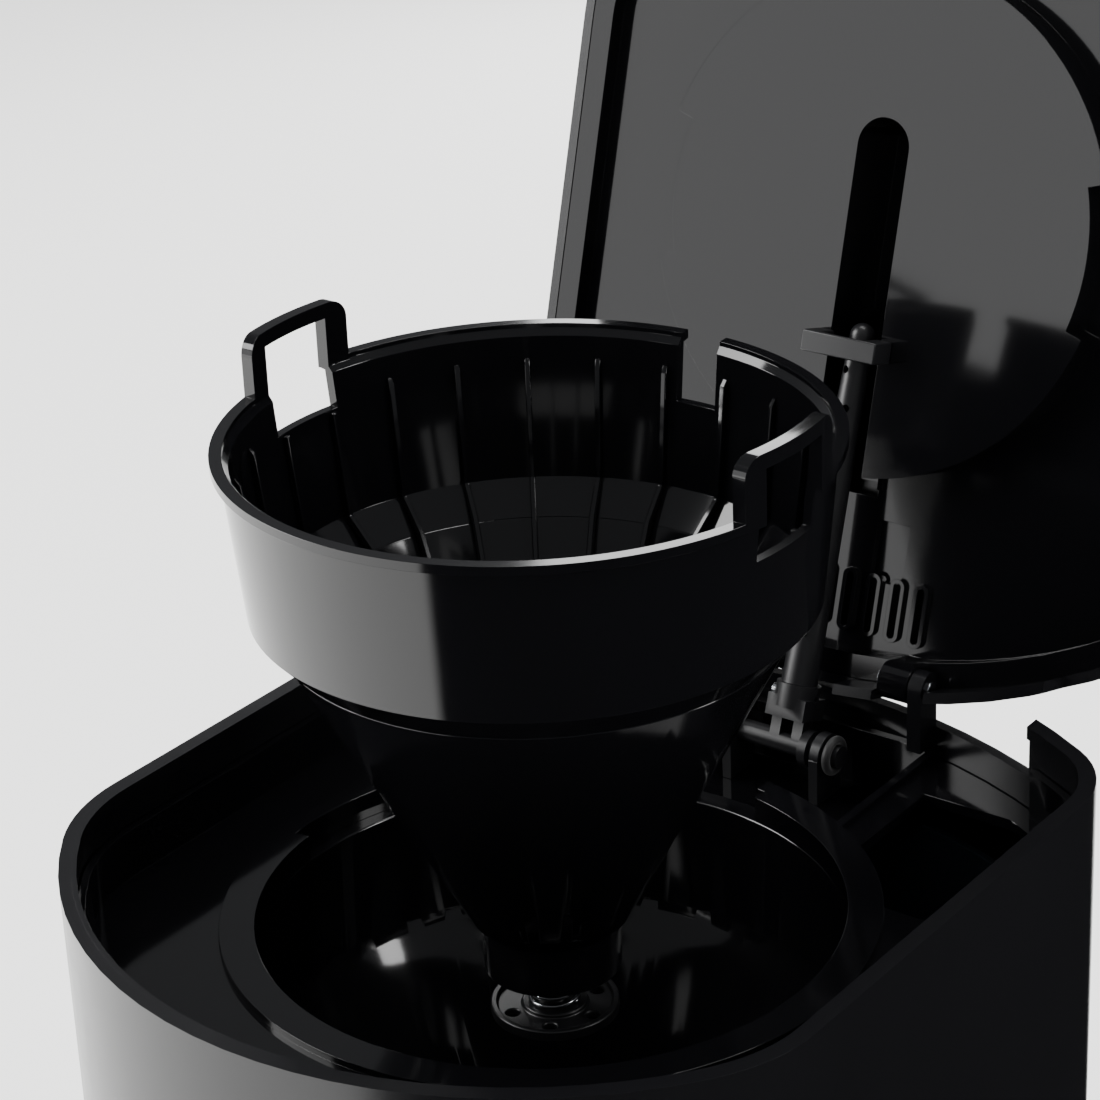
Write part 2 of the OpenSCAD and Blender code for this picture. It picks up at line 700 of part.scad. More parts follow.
module lid_inner() color("#1d1e20") open_lid() difference() {
    union() {
        difference() {
            intersection() {
                plan(-lid_play - lid_wall - 0.1, lid_z + 0.2, inner_z + 2.3);
                crown(lid_wall + 0.2);
            }
            plan(-lid_play - lid_wall - 5.6, lid_z - 1, inner_z);
        }
        tube(drum_r, drum_r - 2.2, face_z, inner_z + 1);
        rod_z(0, 0, face_z, face_z + 2, drum_r - 1);
        for (sx = [-1, 1]) intersection() {
            tube(drum_r, notch_r - 2, face_z, inner_z + 1);
            rotate([0, 0, sx > 0 ? 0 : 180]) drum_notch(19, 3);
        }
        intersection() {
            slot_shape(slot_w / 2 + 1.4, inner_z - 10, hinge_z + crown_rise - lid_wall - 1.8);
            crown(lid_wall + 0.25);
            union() {
                rod_z(0, 0, face_z, hinge_z + 60, drum_r);
                block(-20, 20, 0, drum_r + 3, inner_z - 1, hinge_z + 60);
            }
        }
        for (sx = [-1, 1]) {
            rod_x(min(sx * knuckle_x0, sx * knuckle_x1), max(sx * knuckle_x0, sx * knuckle_x1),
                hinge_y, hinge_z, 4.3);
            block(min(sx * knuckle_x0, sx * knuckle_x1), max(sx * knuckle_x0, sx * knuckle_x1),
                hinge_y - 4.2, hinge_y, hinge_z, inner_z + 1);
        }
        for (i = [-4 : 3]) louvre((i + 0.5) * louvre_pitch, inner_z - 1.2, 1.9);
    }
    intersection() {
        slot_shape(slot_w / 2, face_z - 1, hinge_z + crown_rise - lid_wall - 3);
        crown(lid_wall + 1.5);
    }
    for (sx = [-1, 1]) difference() {
        intersection() {
            rotate([0, 0, sx > 0 ? 0 : 180]) drum_notch(17, 0);
            rod_z(0, 0, face_z - 2, inner_z, drum_r + 0.6);
        }
        rod_z(0, 0, face_z - 3, inner_z + 5, notch_r);
    }
    rod_x(-40, 40, hinge_y, hinge_z, pin_r + run_gap);
    for (p = lid_bosses) rod_z(p.x, p.y, lid_z - 2, inner_z + 4, screw_r + 0.2);
    for (i = [-4 : 3]) louvre((i + 0.5) * louvre_pitch, inner_z - 3, 0.9);
    for (sx = [-1, 1]) block(min(sx * 7.6, sx * 16), max(sx * 7.6, sx * 16), hinge_y - 33, hinge_y - 19,
        inner_z - 1, inner_z + 1);
}

// Wedge beside the drum that clears a grip of the basket
module drum_notch(half_angle, in) {
    translate([0, 0, face_z - 1]) linear_extrude(inner_z - face_z + 1)
        polygon([[0, 0], [120 * cos(half_angle), -120 * sin(half_angle)], [130, 0],
            [120 * cos(half_angle), 120 * sin(half_angle)]]);
}

module slot_shape(r, z0, z1) {
    rod_z(0, slot_tip_y + slot_w / 2, z0, z1, r);
    block(-r, r, slot_tip_y + slot_w / 2, drum_r + 5 - (slot_w / 2 - r), z0, z1);
}

module louvre(x, z0, r) {
    block(x - r, x + r, hinge_y - 19, hinge_y - 8, z0, inner_z + 5 + z0 - inner_z);
    for (y = [hinge_y - 19, hinge_y - 8]) rod_z(x, y, z0, inner_z + 5 + z0 - inner_z, r);
}

// Loop that holds the arm to the slot and lets it slide through
strap_y = hinge_y - 72;
strap_in = arm_base_r + 2.6;

module lid_strap() color(soft_black) open_lid() difference() {
    block(-slot_w / 2 - 3, slot_w / 2 + 3, strap_y - 2.4, strap_y + 2.4,
        face_z - strap_in - 0.6, face_z - 0.02);
    block(-slot_w / 2 + 1, slot_w / 2 - 1, strap_y - 4, strap_y + 4, face_z - strap_in + 1, face_z + 1);
}

module lid_screws() color(steel) open_lid() for (p = lid_bosses) {
    rod_z(p.x, p.y, inner_z - 1.6, inner_z - 0.02, 3);
    rod_z(p.x, p.y, inner_z - 0.5, inner_z + 2.35, screw_r);
}

// ---- Spray arm, drawn upright on its pivot and leaned back ----

module on_pivot() {
    translate([0, pivot_y, pivot_z]) rotate([-arm_lean, 0, 0]) children();
}

hole_rows = 8;

module spray_arm() color("#26282b") on_pivot() difference() {
    union() {
        translate([0, 0, 14.05]) cylinder(r1 = arm_base_r, r2 = arm_tip_r, h = arm_len - 14.05 - arm_tip_r);
        translate([0, 0, arm_len - arm_tip_r]) sphere(r = arm_tip_r);
        translate([0, 0, 8]) cylinder(r = 2.9, h = 8);
    }
    translate([0, 0, 6]) cylinder(r = 1.6, h = arm_len - 10);
    for (i = [0 : hole_rows - 1]) translate([0, 0, 26 + i * 8.6])
        rotate([90, 0, i % 2 == 0 ? 14 : -24]) cylinder(r = 0.9, h = 10);
}

module arm_socket() color(soft_black) on_pivot() {
    difference() {
        union() {
            translate([0, 0, 8.5]) cylinder(r = 5.1, h = 5.5);
            block(-5, 5, -4.4, 4.4, 6, 11);
            for (x = [-4.2, 1.6]) block(x, x + 2.6, -2.2, 2.2, 0, 7);
            rod_x(-22, 14, 0, 0, tube_r);
            rod_x(4.6, 6.8, 0, 0, 4.2);
        }
        translate([0, 0, 7.5]) cylinder(r = 2.95, h = 8);
        translate([0, 0, 0]) cylinder(r = 1.3, h = 9);
        rod_x(-23, 6, 0, 0, 1.5);
        rod_x(-6, 6, 0, 11.2, 0.75);
    }
}

module arm_pin() color(steel) on_pivot() {
    rod_x(-6.2, -3, 0, 11.2, 0.7);
    rod_x(-6.2, -5.2, 0, 11.2, 1.4);
}

module arm_seals() color(rubber) on_pivot() {
    for (x = [-16.5, 12.2]) translate([x, 0, 0]) rotate([0, 90, 0])
        rotate_extrude() translate([tube_r + 1.05, 0]) circle(r = 1);
}

// ---- Filter basket, drawn raised ----

seat_z = ring_z + 2.2;
basket_z = seat_z + basket_lift;
belt_r = ring_in_r - 1;
belt_low_r = belt_r - 3.1;
shoulder_h = 6;
shoulder_r = 52;
nose_r = 17;
spout_r = 14.5;
window_h = 10;
arm_notch_w = 9.6;
arm_notch_h = 14.5;
stem_r = 2.2;

module grip() intersection() {
    difference() {
        union() {
            block(40, 80, -grip_w / 2, grip_w / 2, -2, grip_h - 4);
            for (y = [-1, 1]) rod_x(40, 80, y * (grip_w / 2 - 4), grip_h - 4, 4);
            block(40, 80, -grip_w / 2 + 4, grip_w / 2 - 4, -2, grip_h);
        }
        block(30, 90, -grip_w / 2 + 5.4, grip_w / 2 - 5.4, -window_h, grip_h - 3.2);
    }
    tube(basket_r, basket_r - 2.8, -20, 40);
}

module filter_basket() color("#141517") translate([0, 0, basket_z]) difference() {
    union() {
        rotate_extrude() polygon([
            [basket_r, 0], [basket_r, -1.9], [belt_r, -2.2], [belt_low_r, -belt_h],
            [shoulder_r, -belt_h - shoulder_h], [shoulder_r - basket_wall - 0.8, -belt_h - shoulder_h],
            [belt_low_r - basket_wall, -belt_h + 0.6], [belt_r - basket_wall, -2.4],
            [basket_r - basket_wall - 0.6, -1], [basket_r - basket_wall - 0.6, 0]]);
        for (a = [0, 180]) rotate([0, 0, a]) grip();
    }
    for (a = [0, 180]) rotate([0, 0, a])
        block(40, 80, -grip_w / 2 + 5.4, grip_w / 2 - 5.4, -window_h, grip_h - 3.2);
    block(-arm_notch_w / 2, arm_notch_w / 2, 40, 80, -arm_notch_h, 5);
}

// The cone below the belt, down to the nose that holds the valve
module basket_cone() color("#141517") translate([0, 0, basket_z]) rotate_extrude() polygon([
    [shoulder_r, -belt_h - shoulder_h - 0.01], [nose_r, -cone_h], [spout_r, -cone_h - 2],
    [spout_r, -basket_h], [stem_r + 0.3, -basket_h], [stem_r + 0.3, -basket_h + 4],
    [5.4, -basket_h + 4], [5.4, -cone_h + 1.2], [nose_r - 2.6, -cone_h + 1],
    [shoulder_r - basket_wall - 0.8, -belt_h - shoulder_h - 0.01]
]);

// Upright ribs that hold the paper off the basket's wall; those that would cross a cut-out stop under it
module basket_ribs() color("#141517") translate([0, 0, basket_z]) difference() {
    for (i = [0 : rib_count - 1]) rotate([0, 0, (i + 0.5) * 360 / rib_count])
        rotate([90, 0, 0]) translate([0, 0, -0.6]) linear_extrude(1.2) polygon([
            [belt_r - basket_wall - 0.8, -7], [belt_low_r - basket_wall - 0.06, -belt_h + 0.6],
            [shoulder_r - basket_wall - 0.86, -belt_h - shoulder_h + 0.8], [nose_r - 1.7, -cone_h + 3],
            [nose_r - 3.6, -cone_h + 4], [shoulder_r - 4.6, -belt_h - shoulder_h + 1.4],
            [belt_low_r - 3.6, -belt_h + 1.2], [belt_r - 3.9, -8.5]]);
    for (a = [0, 180]) rotate([0, 0, a])
        block(40, 80, -grip_w / 2 + 5, grip_w / 2 - 5, -window_h - 0.4, grip_h);
    block(-arm_notch_w / 2 - 0.4, arm_notch_w / 2 + 0.4, 40, 80, -arm_notch_h - 0.4, 5);
}

// The valve closes the nose from below until a jug lifts it
flange_z = basket_z - basket_h - 9;

module drip_valve() color(soft_black) {
    difference() {
        rod_z(0, 0, flange_z - 2.4, flange_z, 13.6);
        difference() {
            rod_z(0, 0, flange_z - 1, flange_z + 1, 12.2);
            rod_z(0, 0, flange_z - 2, flange_z + 2, 7);
        }
        for (a = [0 : 60 : 300]) rotate([0, 0, a]) rod_z(9.7, 0, flange_z - 4, flange_z + 2, 1.5);
    }
    rod_z(0, 0, flange_z - 5, basket_z - basket_h + 4.2, stem_r);
    rod_z(0, 0, basket_z - basket_h + 6.1, basket_z - basket_h + 7.4, 4);
    rod_z(0, 0, basket_z - basket_h + 4.1, basket_z - basket_h + 6.2, 1.6);
}

module valve_washer() color(rubber) translate([0, 0, basket_z - basket_h + 4.3]) difference() {
    cylinder(r = 4.6, h = 1.75);
    translate([0, 0, -1]) cylinder(r = 1.65, h = 4);
}

coil_r = 5.1;
wire_r = 0.45;
coil_turns = 5;
coil_steps = 20;
coil_h = 9 - 2 * wire_r - 0.1;

function coil_point(i) = [coil_r * cos(i * 360 / coil_steps), coil_r * sin(i * 360 / coil_steps),
    flange_z + 0.05 + wire_r + coil_h * i / (coil_turns * coil_steps)];

// The wire's section at step i stands upright and faces along the turn
function coil_ring(i) = [for (k = [0 : 7]) coil_point(i)
    + wire_r * cos(k * 45) * [cos(i * 360 / coil_steps), sin(i * 360 / coil_steps), 0]
    + wire_r * sin(k * 45) * [0, 0, 1]];

module valve_spring() color(steel) {
    n = coil_turns * coil_steps;
    points = [for (i = [0 : n]) each coil_ring(i)];
    sides = [for (i = [0 : n - 1], k = [0 : 7])
        [i * 8 + k, i * 8 + (k + 1) % 8, (i + 1) * 8 + (k + 1) % 8, (i + 1) * 8 + k]];
    ends = [[for (k = [7 : -1 : 0]) k], [for (k = [0 : 7]) n * 8 + k]];
    polyhedron(points, concat(sides, ends));
}

// ---- Carafe ----

glass_z = plate_z + 1.2;
base_r = carafe_r - 7;
neck_r = carafe_r - 14;
bulge = carafe_r - (base_r + neck_r) / 2;
corner_r = 8;

function glass_r(u) = base_r + (neck_r - base_r) * u + bulge * pow(sin(180 * pow(u, 0.85)), 0.9);

function glass_wall(t) = [for (i = [0 : 22]) let (u = i / 22) [glass_r(u) - t,
    glass_z + corner_r + (glass_h - corner_r) * u]];

glass_top = glass_z + glass_h;
band_z = glass_top - 14;
handle_out = -carafe_r - 34;
handle_z = glass_top - 96;

module carafe_glass() color(clear, 0.4) rotate_extrude() polygon(concat(
    [[0, glass_z], [base_r - corner_r, glass_z]],
    [for (a = [-75 : 15 : -15]) [base_r - corner_r + corner_r * cos(a),
        glass_z + corner_r + corner_r * sin(a)]],
    glass_wall(0),
    [for (i = [22 : -1 : 0]) glass_wall(glass_t)[i]],
    [for (a = [-15 : -15 : -75]) [base_r - corner_r + (corner_r - glass_t) * cos(a),
        glass_z + corner_r + (corner_r - glass_t) * sin(a)]],
    [[base_r - corner_r, glass_z + glass_t], [0, glass_z + glass_t]]
));

// Clamp band round the neck, with two ears that a screw draws together under the handle
band_r = glass_r((band_z - glass_z - corner_r) / (glass_h - corner_r)) + 0.02;

module carafe_band() color(steel) difference() {
    union() {
        tube(band_r + 1.4, band_r, band_z, band_z + 7);
        block(-4.2, 4.2, -band_r - 8, -band_r - 0.6, band_z, band_z + 7);
    }
    block(-1.2, 1.2, -band_r - 9, -band_r + 3, band_z - 1, band_z + 8);
    rod_x(-8, 8, -band_r - 4.6, band_z + 3.5, 1.3 + 0.01);
}

module carafe_handle() color(black) difference() {
    rotate([90, 0, 90]) translate([0, 0, -9]) linear_extrude(18) difference() {
        offset(r = 5, $fn = 32) offset(delta = -5) polygon([
            [-band_r - 1.8, band_z - 6], [-band_r - 1.8, glass_top + 3], [handle_out + 8, glass_top + 3],
            [handle_out, glass_top - 8], [handle_out, handle_z + 8], [handle_out + 8, handle_z],
            [-carafe_r - 2, handle_z], [-carafe_r - 2, handle_z + 12], [handle_out + 13, handle_z + 14],
            [handle_out + 13, band_z - 6]]);
    }
    block(-4.5, 4.5, -band_r - 8.6, -band_r + 1, band_z - 0.3, band_z + 7.3);
    rod_x(-10, 10, -band_r - 4.6, band_z + 3.5, 1.3 + 0.01);
    rod_x(6.5, 10, -band_r - 4.6, band_z + 3.5, 3.1);
}

module handle_screw() color(steel) {
    rod_x(-7, 6.6, -band_r - 4.6, band_z + 3.5, 1.3);
    rod_x(6.55, 8.4, -band_r - 4.6, band_z + 3.5, 2.9);
}

// The jug's lid turns a little to lock, and its dish takes the drip from the valve
lid_disc_r = neck_r + 1.6;
dish_top = bay_top - 4.5;
dish_r = 19;

module carafe_lid() color(black) difference() {
    rotate_extrude() polygon([
        [0, glass_top + 3.2], [dish_r - 7, glass_top + 3.2], [dish_r - 2.4, dish_top], [dish_r, dish_top],
        [dish_r + 2, glass_top + 4.4], [lid_disc_r - 3, glass_top + 3.6], [lid_disc_r, glass_top + 2.4],
        [lid_disc_r, glass_top + 0.3], [neck_r - glass_t - 0.6, glass_top + 0.3],
        [neck_r - glass_t - 0.6, glass_top - 9], [neck_r - glass_t - 2.6, glass_top - 9],
        [neck_r - glass_t - 2.6, glass_top + 0.8], [0, glass_top + 0.8]]);
    for (a = [0 : 60 : 300]) rotate([0, 0, a]) rod_z(8, 0, glass_top, glass_top + 20, 2.2);
    rod_z(0, 0, glass_top, glass_top + 20, 2.6);
    for (a = [60, 120]) rotate([0, 0, a]) block(neck_r - 12, neck_r - 5, -3, 3, glass_top - 2, glass_top + 6);
}

bottom_cover();
rubber_feet();
cover_screws();
base_housing();
control_panel();
power_rocker();
switch_module();
indicator_lens();
cord_inlet();
warming_plate();
plate_seal();
heater_casting();
water_tube();
heating_element();
heater_strap();
thermostat();
thermal_fuses();
cold_hose();
riser_hose();
hose_clamps();
check_valve();
check_ball();
terminal_block();
column_housing();
level_window();
water_tank();
head_housing();
top_deck();
brew_well();
riser_elbow();
arm_saddles();
hinge_pins();
lid_outer();
lid_inner();
lid_strap();
lid_screws();
spray_arm();
arm_socket();
arm_pin();
arm_seals();
filter_basket();
basket_cone();
basket_ribs();
drip_valve();
valve_washer();
valve_spring();
carafe_glass();
carafe_band();
carafe_handle();
handle_screw();
carafe_lid();
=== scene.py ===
# %% [markdown]
# # A drip coffee maker with its lid open
# The machine is a stack of black ABS mouldings: a base, a column and a head, a lid hinged at the back, and a glossy
# cone basket that hangs above its well. The measured solids come in as a fixed frame. Every cell below either gives
# one of them a finish or builds a finer piece in its place, so nothing here has to guess where a part goes.

# %% Load the frame
import json
import math

import bmesh
import bpy
import numpy as np
from mathutils import Matrix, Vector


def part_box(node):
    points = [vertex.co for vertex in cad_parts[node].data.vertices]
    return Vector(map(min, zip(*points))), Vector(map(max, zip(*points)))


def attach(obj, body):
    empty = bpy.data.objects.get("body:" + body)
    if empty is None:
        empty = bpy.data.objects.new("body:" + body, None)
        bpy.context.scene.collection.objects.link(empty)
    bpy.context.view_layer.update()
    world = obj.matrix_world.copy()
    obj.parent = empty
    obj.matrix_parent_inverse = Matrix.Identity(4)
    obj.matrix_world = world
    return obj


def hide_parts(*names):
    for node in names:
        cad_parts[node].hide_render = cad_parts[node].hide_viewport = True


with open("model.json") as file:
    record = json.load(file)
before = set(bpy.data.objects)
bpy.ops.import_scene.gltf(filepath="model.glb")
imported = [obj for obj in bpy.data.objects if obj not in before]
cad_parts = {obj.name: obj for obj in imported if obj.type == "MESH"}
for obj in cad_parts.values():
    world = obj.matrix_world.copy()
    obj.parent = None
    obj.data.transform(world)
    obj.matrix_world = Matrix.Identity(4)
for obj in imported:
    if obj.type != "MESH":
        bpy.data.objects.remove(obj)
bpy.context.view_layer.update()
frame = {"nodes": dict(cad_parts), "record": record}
MM = 0.001
BODY_OF = {node: body for body, nodes in frame["record"]["behaviour"]["bodies"].items() for node in nodes}
SLOT_OF = {part["node"]: part["material_slot"] for part in frame["record"]["subparts"]}

# %% [markdown]
# ## The camera
# A product close-up is taken from a little above the rim with a long lens, so that the round openings stay calm
# ellipses. The camera could be aimed with a Track To constraint, but a matrix built from two angles and a roll says
# exactly where its three axes point, and it needs no extra object.

# %% Camera
AZIMUTH, ELEVATION, ROLL = (math.radians(angle) for angle in (37.63, 24.54, -2.59))
DECK_WALL_MM = 9.5
SEAT_RING_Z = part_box("top_deck")[1].z - DECK_WALL_MM * MM
CAMERA_FROM_RING = np.array([368.6, -472.9, 354.5]) * MM
LENS_MM = 109.0

back = np.array([math.sin(AZIMUTH) * math.cos(ELEVATION), -math.cos(AZIMUTH) * math.cos(ELEVATION),
                 math.sin(ELEVATION)])
level = np.array([math.cos(AZIMUTH), math.sin(AZIMUTH), 0.0])
right = math.cos(ROLL) * level + math.sin(ROLL) * np.cross(back, level)
camera_data = bpy.data.cameras.new("camera")
camera_data.lens = LENS_MM
camera_data.sensor_width = 36.0
camera_data.clip_end = 50.0
camera = bpy.data.objects.new("camera", camera_data)
bpy.context.collection.objects.link(camera)
turn = Matrix((right, np.cross(back, right), back)).transposed().to_4x4()
camera.matrix_world = Matrix.Translation(CAMERA_FROM_RING + [0, 0, SEAT_RING_Z]) @ turn
bpy.context.scene.camera = camera
print("camera at", [round(value, 3) for value in camera.matrix_world.translation])

# %% [markdown]
# ## Nodes and colours
# A finish is a small network of shader nodes. One function adds a node, sets it and links it, which keeps each
# material short enough to read in one go. Colours are written as the sRGB hex values a designer would name, and are
# turned to the linear values that the renderer works in.

# %% Node and colour helpers
def linear(hex_colour):
    """sRGB hex to linear: c / 12.92 up to 0.04045, and ((c + 0.055) / 1.055) ** 2.4 above it."""
    c = np.array([int(hex_colour[i:i + 2], 16) for i in (1, 3, 5)]) / 255
    return (*np.where(c <= 0.04045, c / 12.92, ((c + 0.055) / 1.055) ** 2.4), 1.0)


def add(tree, kind, sockets=None, **settings):
    """Adds a shader node, sets its properties, and fills its sockets with values or with links."""
    node = tree.nodes.new("ShaderNode" + kind)
    for key, value in settings.items():
        setattr(node, key, value)
    for key, value in (sockets or {}).items():
        if isinstance(value, bpy.types.NodeSocket):
            tree.links.new(value, node.inputs[key])
        else:
            node.inputs[key].default_value = value
    return node


def per_mm(size_mm):
    """The noise scale whose features are size_mm across, on coordinates in metres."""
    return 1000.0 / size_mm


# %% [markdown]
# ## Moulded plastics
# ABS copies the surface of its steel mould. A polished mould gives a glossy skin with a faint long waviness from
# shrinkage, and a spark-eroded one gives a fine even grain. Both come from one recipe: a base colour and a roughness
# that drift a little over broad clouds, and a bump whose size is the grain or the waviness in millimetres. Image
# textures would do it too, but noise on Object coordinates needs no unwrapping and has no seams.

# %% Plastics
def plastic(name, dark, light, rough, wave_mm, wave_depth_mm, grain_mm, grain_depth_mm, **sockets):
    """Colour = dark to light over 40 mm clouds; roughness = rough +- 8 %; bump = waviness plus mould grain."""
    material = bpy.data.materials.new(name)
    material.use_nodes = True
    tree = material.node_tree
    tree.nodes.clear()
    place = add(tree, "TexCoord").outputs["Object"]
    cloud = add(tree, "TexNoise", {"Vector": place, "Scale": per_mm(40), "Detail": 4.0}).outputs["Fac"]
    smear = add(tree, "TexNoise", {"Vector": place, "Scale": per_mm(9), "Detail": 5.0}).outputs["Fac"]
    wave = add(tree, "TexNoise", {"Vector": place, "Scale": per_mm(wave_mm), "Detail": 1.0}).outputs["Fac"]
    grain = add(tree, "TexNoise", {"Vector": place, "Scale": per_mm(grain_mm), "Detail": 2.0}).outputs["Fac"]
    tint = add(tree, "Mix", {"Factor": cloud, "A": linear(dark), "B": linear(light)}, data_type="RGBA")
    gloss = add(tree, "MapRange", {"Value": smear, "From Min": 0.3, "From Max": 0.7, "To Min": rough * 0.92,
                                   "To Max": rough * 1.08})
    waved = add(tree, "Bump", {"Height": wave, "Distance": wave_depth_mm * MM, "Strength": 1.0})
    grained = add(tree, "Bump", {"Height": grain, "Distance": grain_depth_mm * MM, "Strength": 1.0,
                                 "Normal": waved.outputs["Normal"]})
    shader = add(tree, "BsdfPrincipled", {"Base Color": tint.outputs["Result"], "Roughness": gloss.outputs["Result"],
                                          "Normal": grained.outputs["Normal"], "IOR": 1.53, **sockets})
    add(tree, "OutputMaterial", {"Surface": shader.outputs["BSDF"]})
    return material


# Polished ABS: near mirror-smooth, so that it shows the lights as soft bright shapes on a deep black
polished_abs = plastic("polished_black_abs", "#060607", "#08080a", 0.085, 40, 0.03, 1.4, 0.0006)
# Satin ABS of the outer shell: the same black with a fine even grain that spreads the highlights
satin_abs = plastic("satin_black_abs", "#0a0a0c", "#0e0e10", 0.22, 60, 0.06, 0.9, 0.004)
# The spray arm and its fittings: unpolished, so a shade greyer
matt_abs = plastic("matt_black_abs", "#121214", "#18181a", 0.36, 20, 0.03, 0.8, 0.006)
# Inner mouldings of black polypropylene: a little duller and waxier
dull_pp = plastic("black_polypropylene", "#0a0a0b", "#131315", 0.34, 24, 0.06, 1.2, 0.008)
panel_abs = plastic("grey_panel_abs", "#26282b", "#303236", 0.42, 40, 0.03, 0.8, 0.010)
smoke_tank = plastic("smoke_polycarbonate", "#1b2024", "#262c31", 0.2, 30, 0.05, 1.6, 0.003)
rocker_red = plastic("red_polycarbonate", "#7d0d14", "#9a141c", 0.22, 12, 0.02, 1.0, 0.002)
lens_amber = plastic("amber_acrylic", "#b8560c", "#d8761a", 0.12, 8, 0.02, 1.0, 0.001)
ivory_block = plastic("ivory_polyamide", "#c9c3b0", "#dad5c6", 0.45, 12, 0.03, 0.8, 0.010)
# Nitrile and silicone rubber: soft, matt, with a dusty sheen
black_rubber = plastic("nitrile_rubber", "#101011", "#19191a", 0.62, 12, 0.04, 0.6, 0.020, **{"Sheen Weight": 0.15})
silicone = plastic("silicone_hose", "#a9a697", "#bdbaad", 0.4, 14, 0.04, 1.2, 0.006,
                   **{"Subsurface Weight": 0.2, "Subsurface Scale": 0.002})
# Fired non-stick coating of the plate: dark grey with a fine orange peel
plate_coat = plastic("non_stick_coating", "#17181a", "#222326", 0.38, 6, 0.03, 0.7, 0.012)
print("plastics and rubbers:", len(bpy.data.materials))

# %% [markdown]
# ## Metals and glass
# Spring wire, screws and the clamp band are bright steel, drawn or rolled, so fine lines run along them. The heater
# is a raw aluminium casting with a sandy skin. Glass is clear with the slightest green, and its roughness is almost
# nothing. Stretching one noise along a single axis is the simplest way to draw brushed lines.

# %% Metals and glass
def metal(name, dark, light, rough, line_mm, stretch, depth_mm):
    """Colour and roughness follow a noise of line_mm, drawn out stretch times along Z; the same noise is the bump."""
    material = bpy.data.materials.new(name)
    material.use_nodes = True
    tree = material.node_tree
    tree.nodes.clear()
    place = add(tree, "TexCoord").outputs["Object"]
    drawn = add(tree, "Mapping", {"Vector": place, "Scale": (1.0, 1.0, 1.0 / stretch)}).outputs["Vector"]
    line = add(tree, "TexNoise", {"Vector": drawn, "Scale": per_mm(line_mm), "Detail": 4.0}).outputs["Fac"]
    tint = add(tree, "Mix", {"Factor": line, "A": linear(dark), "B": linear(light)}, data_type="RGBA")
    gloss = add(tree, "MapRange", {"Value": line, "To Min": rough * 0.7, "To Max": rough * 1.3})
    bump = add(tree, "Bump", {"Height": line, "Distance": depth_mm * MM, "Strength": 1.0})
    shader = add(tree, "BsdfPrincipled", {"Base Color": tint.outputs["Result"], "Metallic": 1.0,
                                          "Roughness": gloss.outputs["Result"], "Normal": bump.outputs["Normal"]})
    add(tree, "OutputMaterial", {"Surface": shader.outputs["BSDF"]})
    return material


def clear_glass(name, colour, rough, weight=1.0):
    """Transmission of the given weight at IOR 1.5, with finger-smear roughness from a 12 mm noise."""
    material = bpy.data.materials.new(name)
    material.use_nodes = True
    tree = material.node_tree
    tree.nodes.clear()
    place = add(tree, "TexCoord").outputs["Object"]
    smear = add(tree, "TexNoise", {"Vector": place, "Scale": per_mm(12), "Detail": 3.0}).outputs["Fac"]
    gloss = add(tree, "MapRange", {"Value": smear, "To Min": 0.0, "To Max": rough * 2})
    shader = add(tree, "BsdfPrincipled", {"Base Color": linear(colour), "Roughness": gloss.outputs["Result"],
                                          "IOR": 1.5, "Transmission Weight": weight})
    add(tree, "OutputMaterial", {"Surface": shader.outputs["BSDF"]})
    return material


bright_steel = metal("bright_steel", "#b4b6ba", "#d8dade", 0.18, 0.4, 8, 0.002)
cast_aluminium = metal("cast_aluminium", "#8e9094", "#aeb0b4", 0.42, 0.8, 1, 0.030)
jug_glass = clear_glass("borosilicate_glass", "#f4faf8", 0.02)
window_clear = clear_glass("clear_san", "#dfe8ea", 0.05, 0.9)

FINISH = {"black_shell": satin_abs, "gloss_black": polished_abs, "inner_black": dull_pp, "dark_grey": panel_abs,
          "smoke_tank": smoke_tank, "steel": bright_steel, "alu": cast_aluminium, "plate_coat": plate_coat,
          "black_rubber": black_rubber, "silicone": silicone, "clear": jug_glass, "clear_plastic": window_clear,
          "red_rocker": rocker_red, "amber": lens_amber, "ceramic_white": ivory_block}
# The mouldings round the well and inside the lid come from a polished mould, unlike the outside of the shell
POLISHED = ("top_deck", "brew_well", "lid_inner", "filter_basket", "basket_cone", "basket_ribs")
MATT = ("spray_arm", "arm_socket", "arm_saddles", "riser_elbow", "lid_strap")
print("materials:", len(bpy.data.materials))

# %% [markdown]
# ## Mouldings with real edges
# No moulded edge is a knife edge: the mould is cut with a small radius, and that thin line of light along every rim
# is what makes black plastic readable. The frame's meshes are loose triangles, so a Bevel can't work on them. Each
# one is copied, its corners are joined and its flat triangles are merged into faces. Then a Bevel rounds the sharp
# edges. The curved stretches are shaded smooth, and each copy replaces its node.

# %% Rounded copies
EDGE_ANGLE = math.radians(32)
FLAT_ANGLE = math.radians(0.4)
# Edge radius in millimetres where it isn't the usual one
EDGE_MM = {"filter_basket": 0.35, "basket_cone": 0.3, "basket_ribs": 0.2, "head_housing": 0.7, "lid_outer": 0.8,
           "base_housing": 0.8, "column_housing": 0.6, "top_deck": 0.5, "lid_inner": 0.45, "carafe_handle": 1.2,
           "carafe_lid": 0.5, "arm_pin": 0.1, "switch_module": 0.3, "thermal_fuses": 0.15, "valve_washer": 0.2,
           "arm_socket": 0.2, "spray_arm": 0.12, "control_panel": 0.3, "level_window": 0.2, "hinge_pins": 0.2,
           "hose_clamps": 0.2, "lid_screws": 0.3, "cover_screws": 0.15, "power_rocker": 0.3, "check_ball": 0.0}
USUAL_EDGE_MM = 0.3


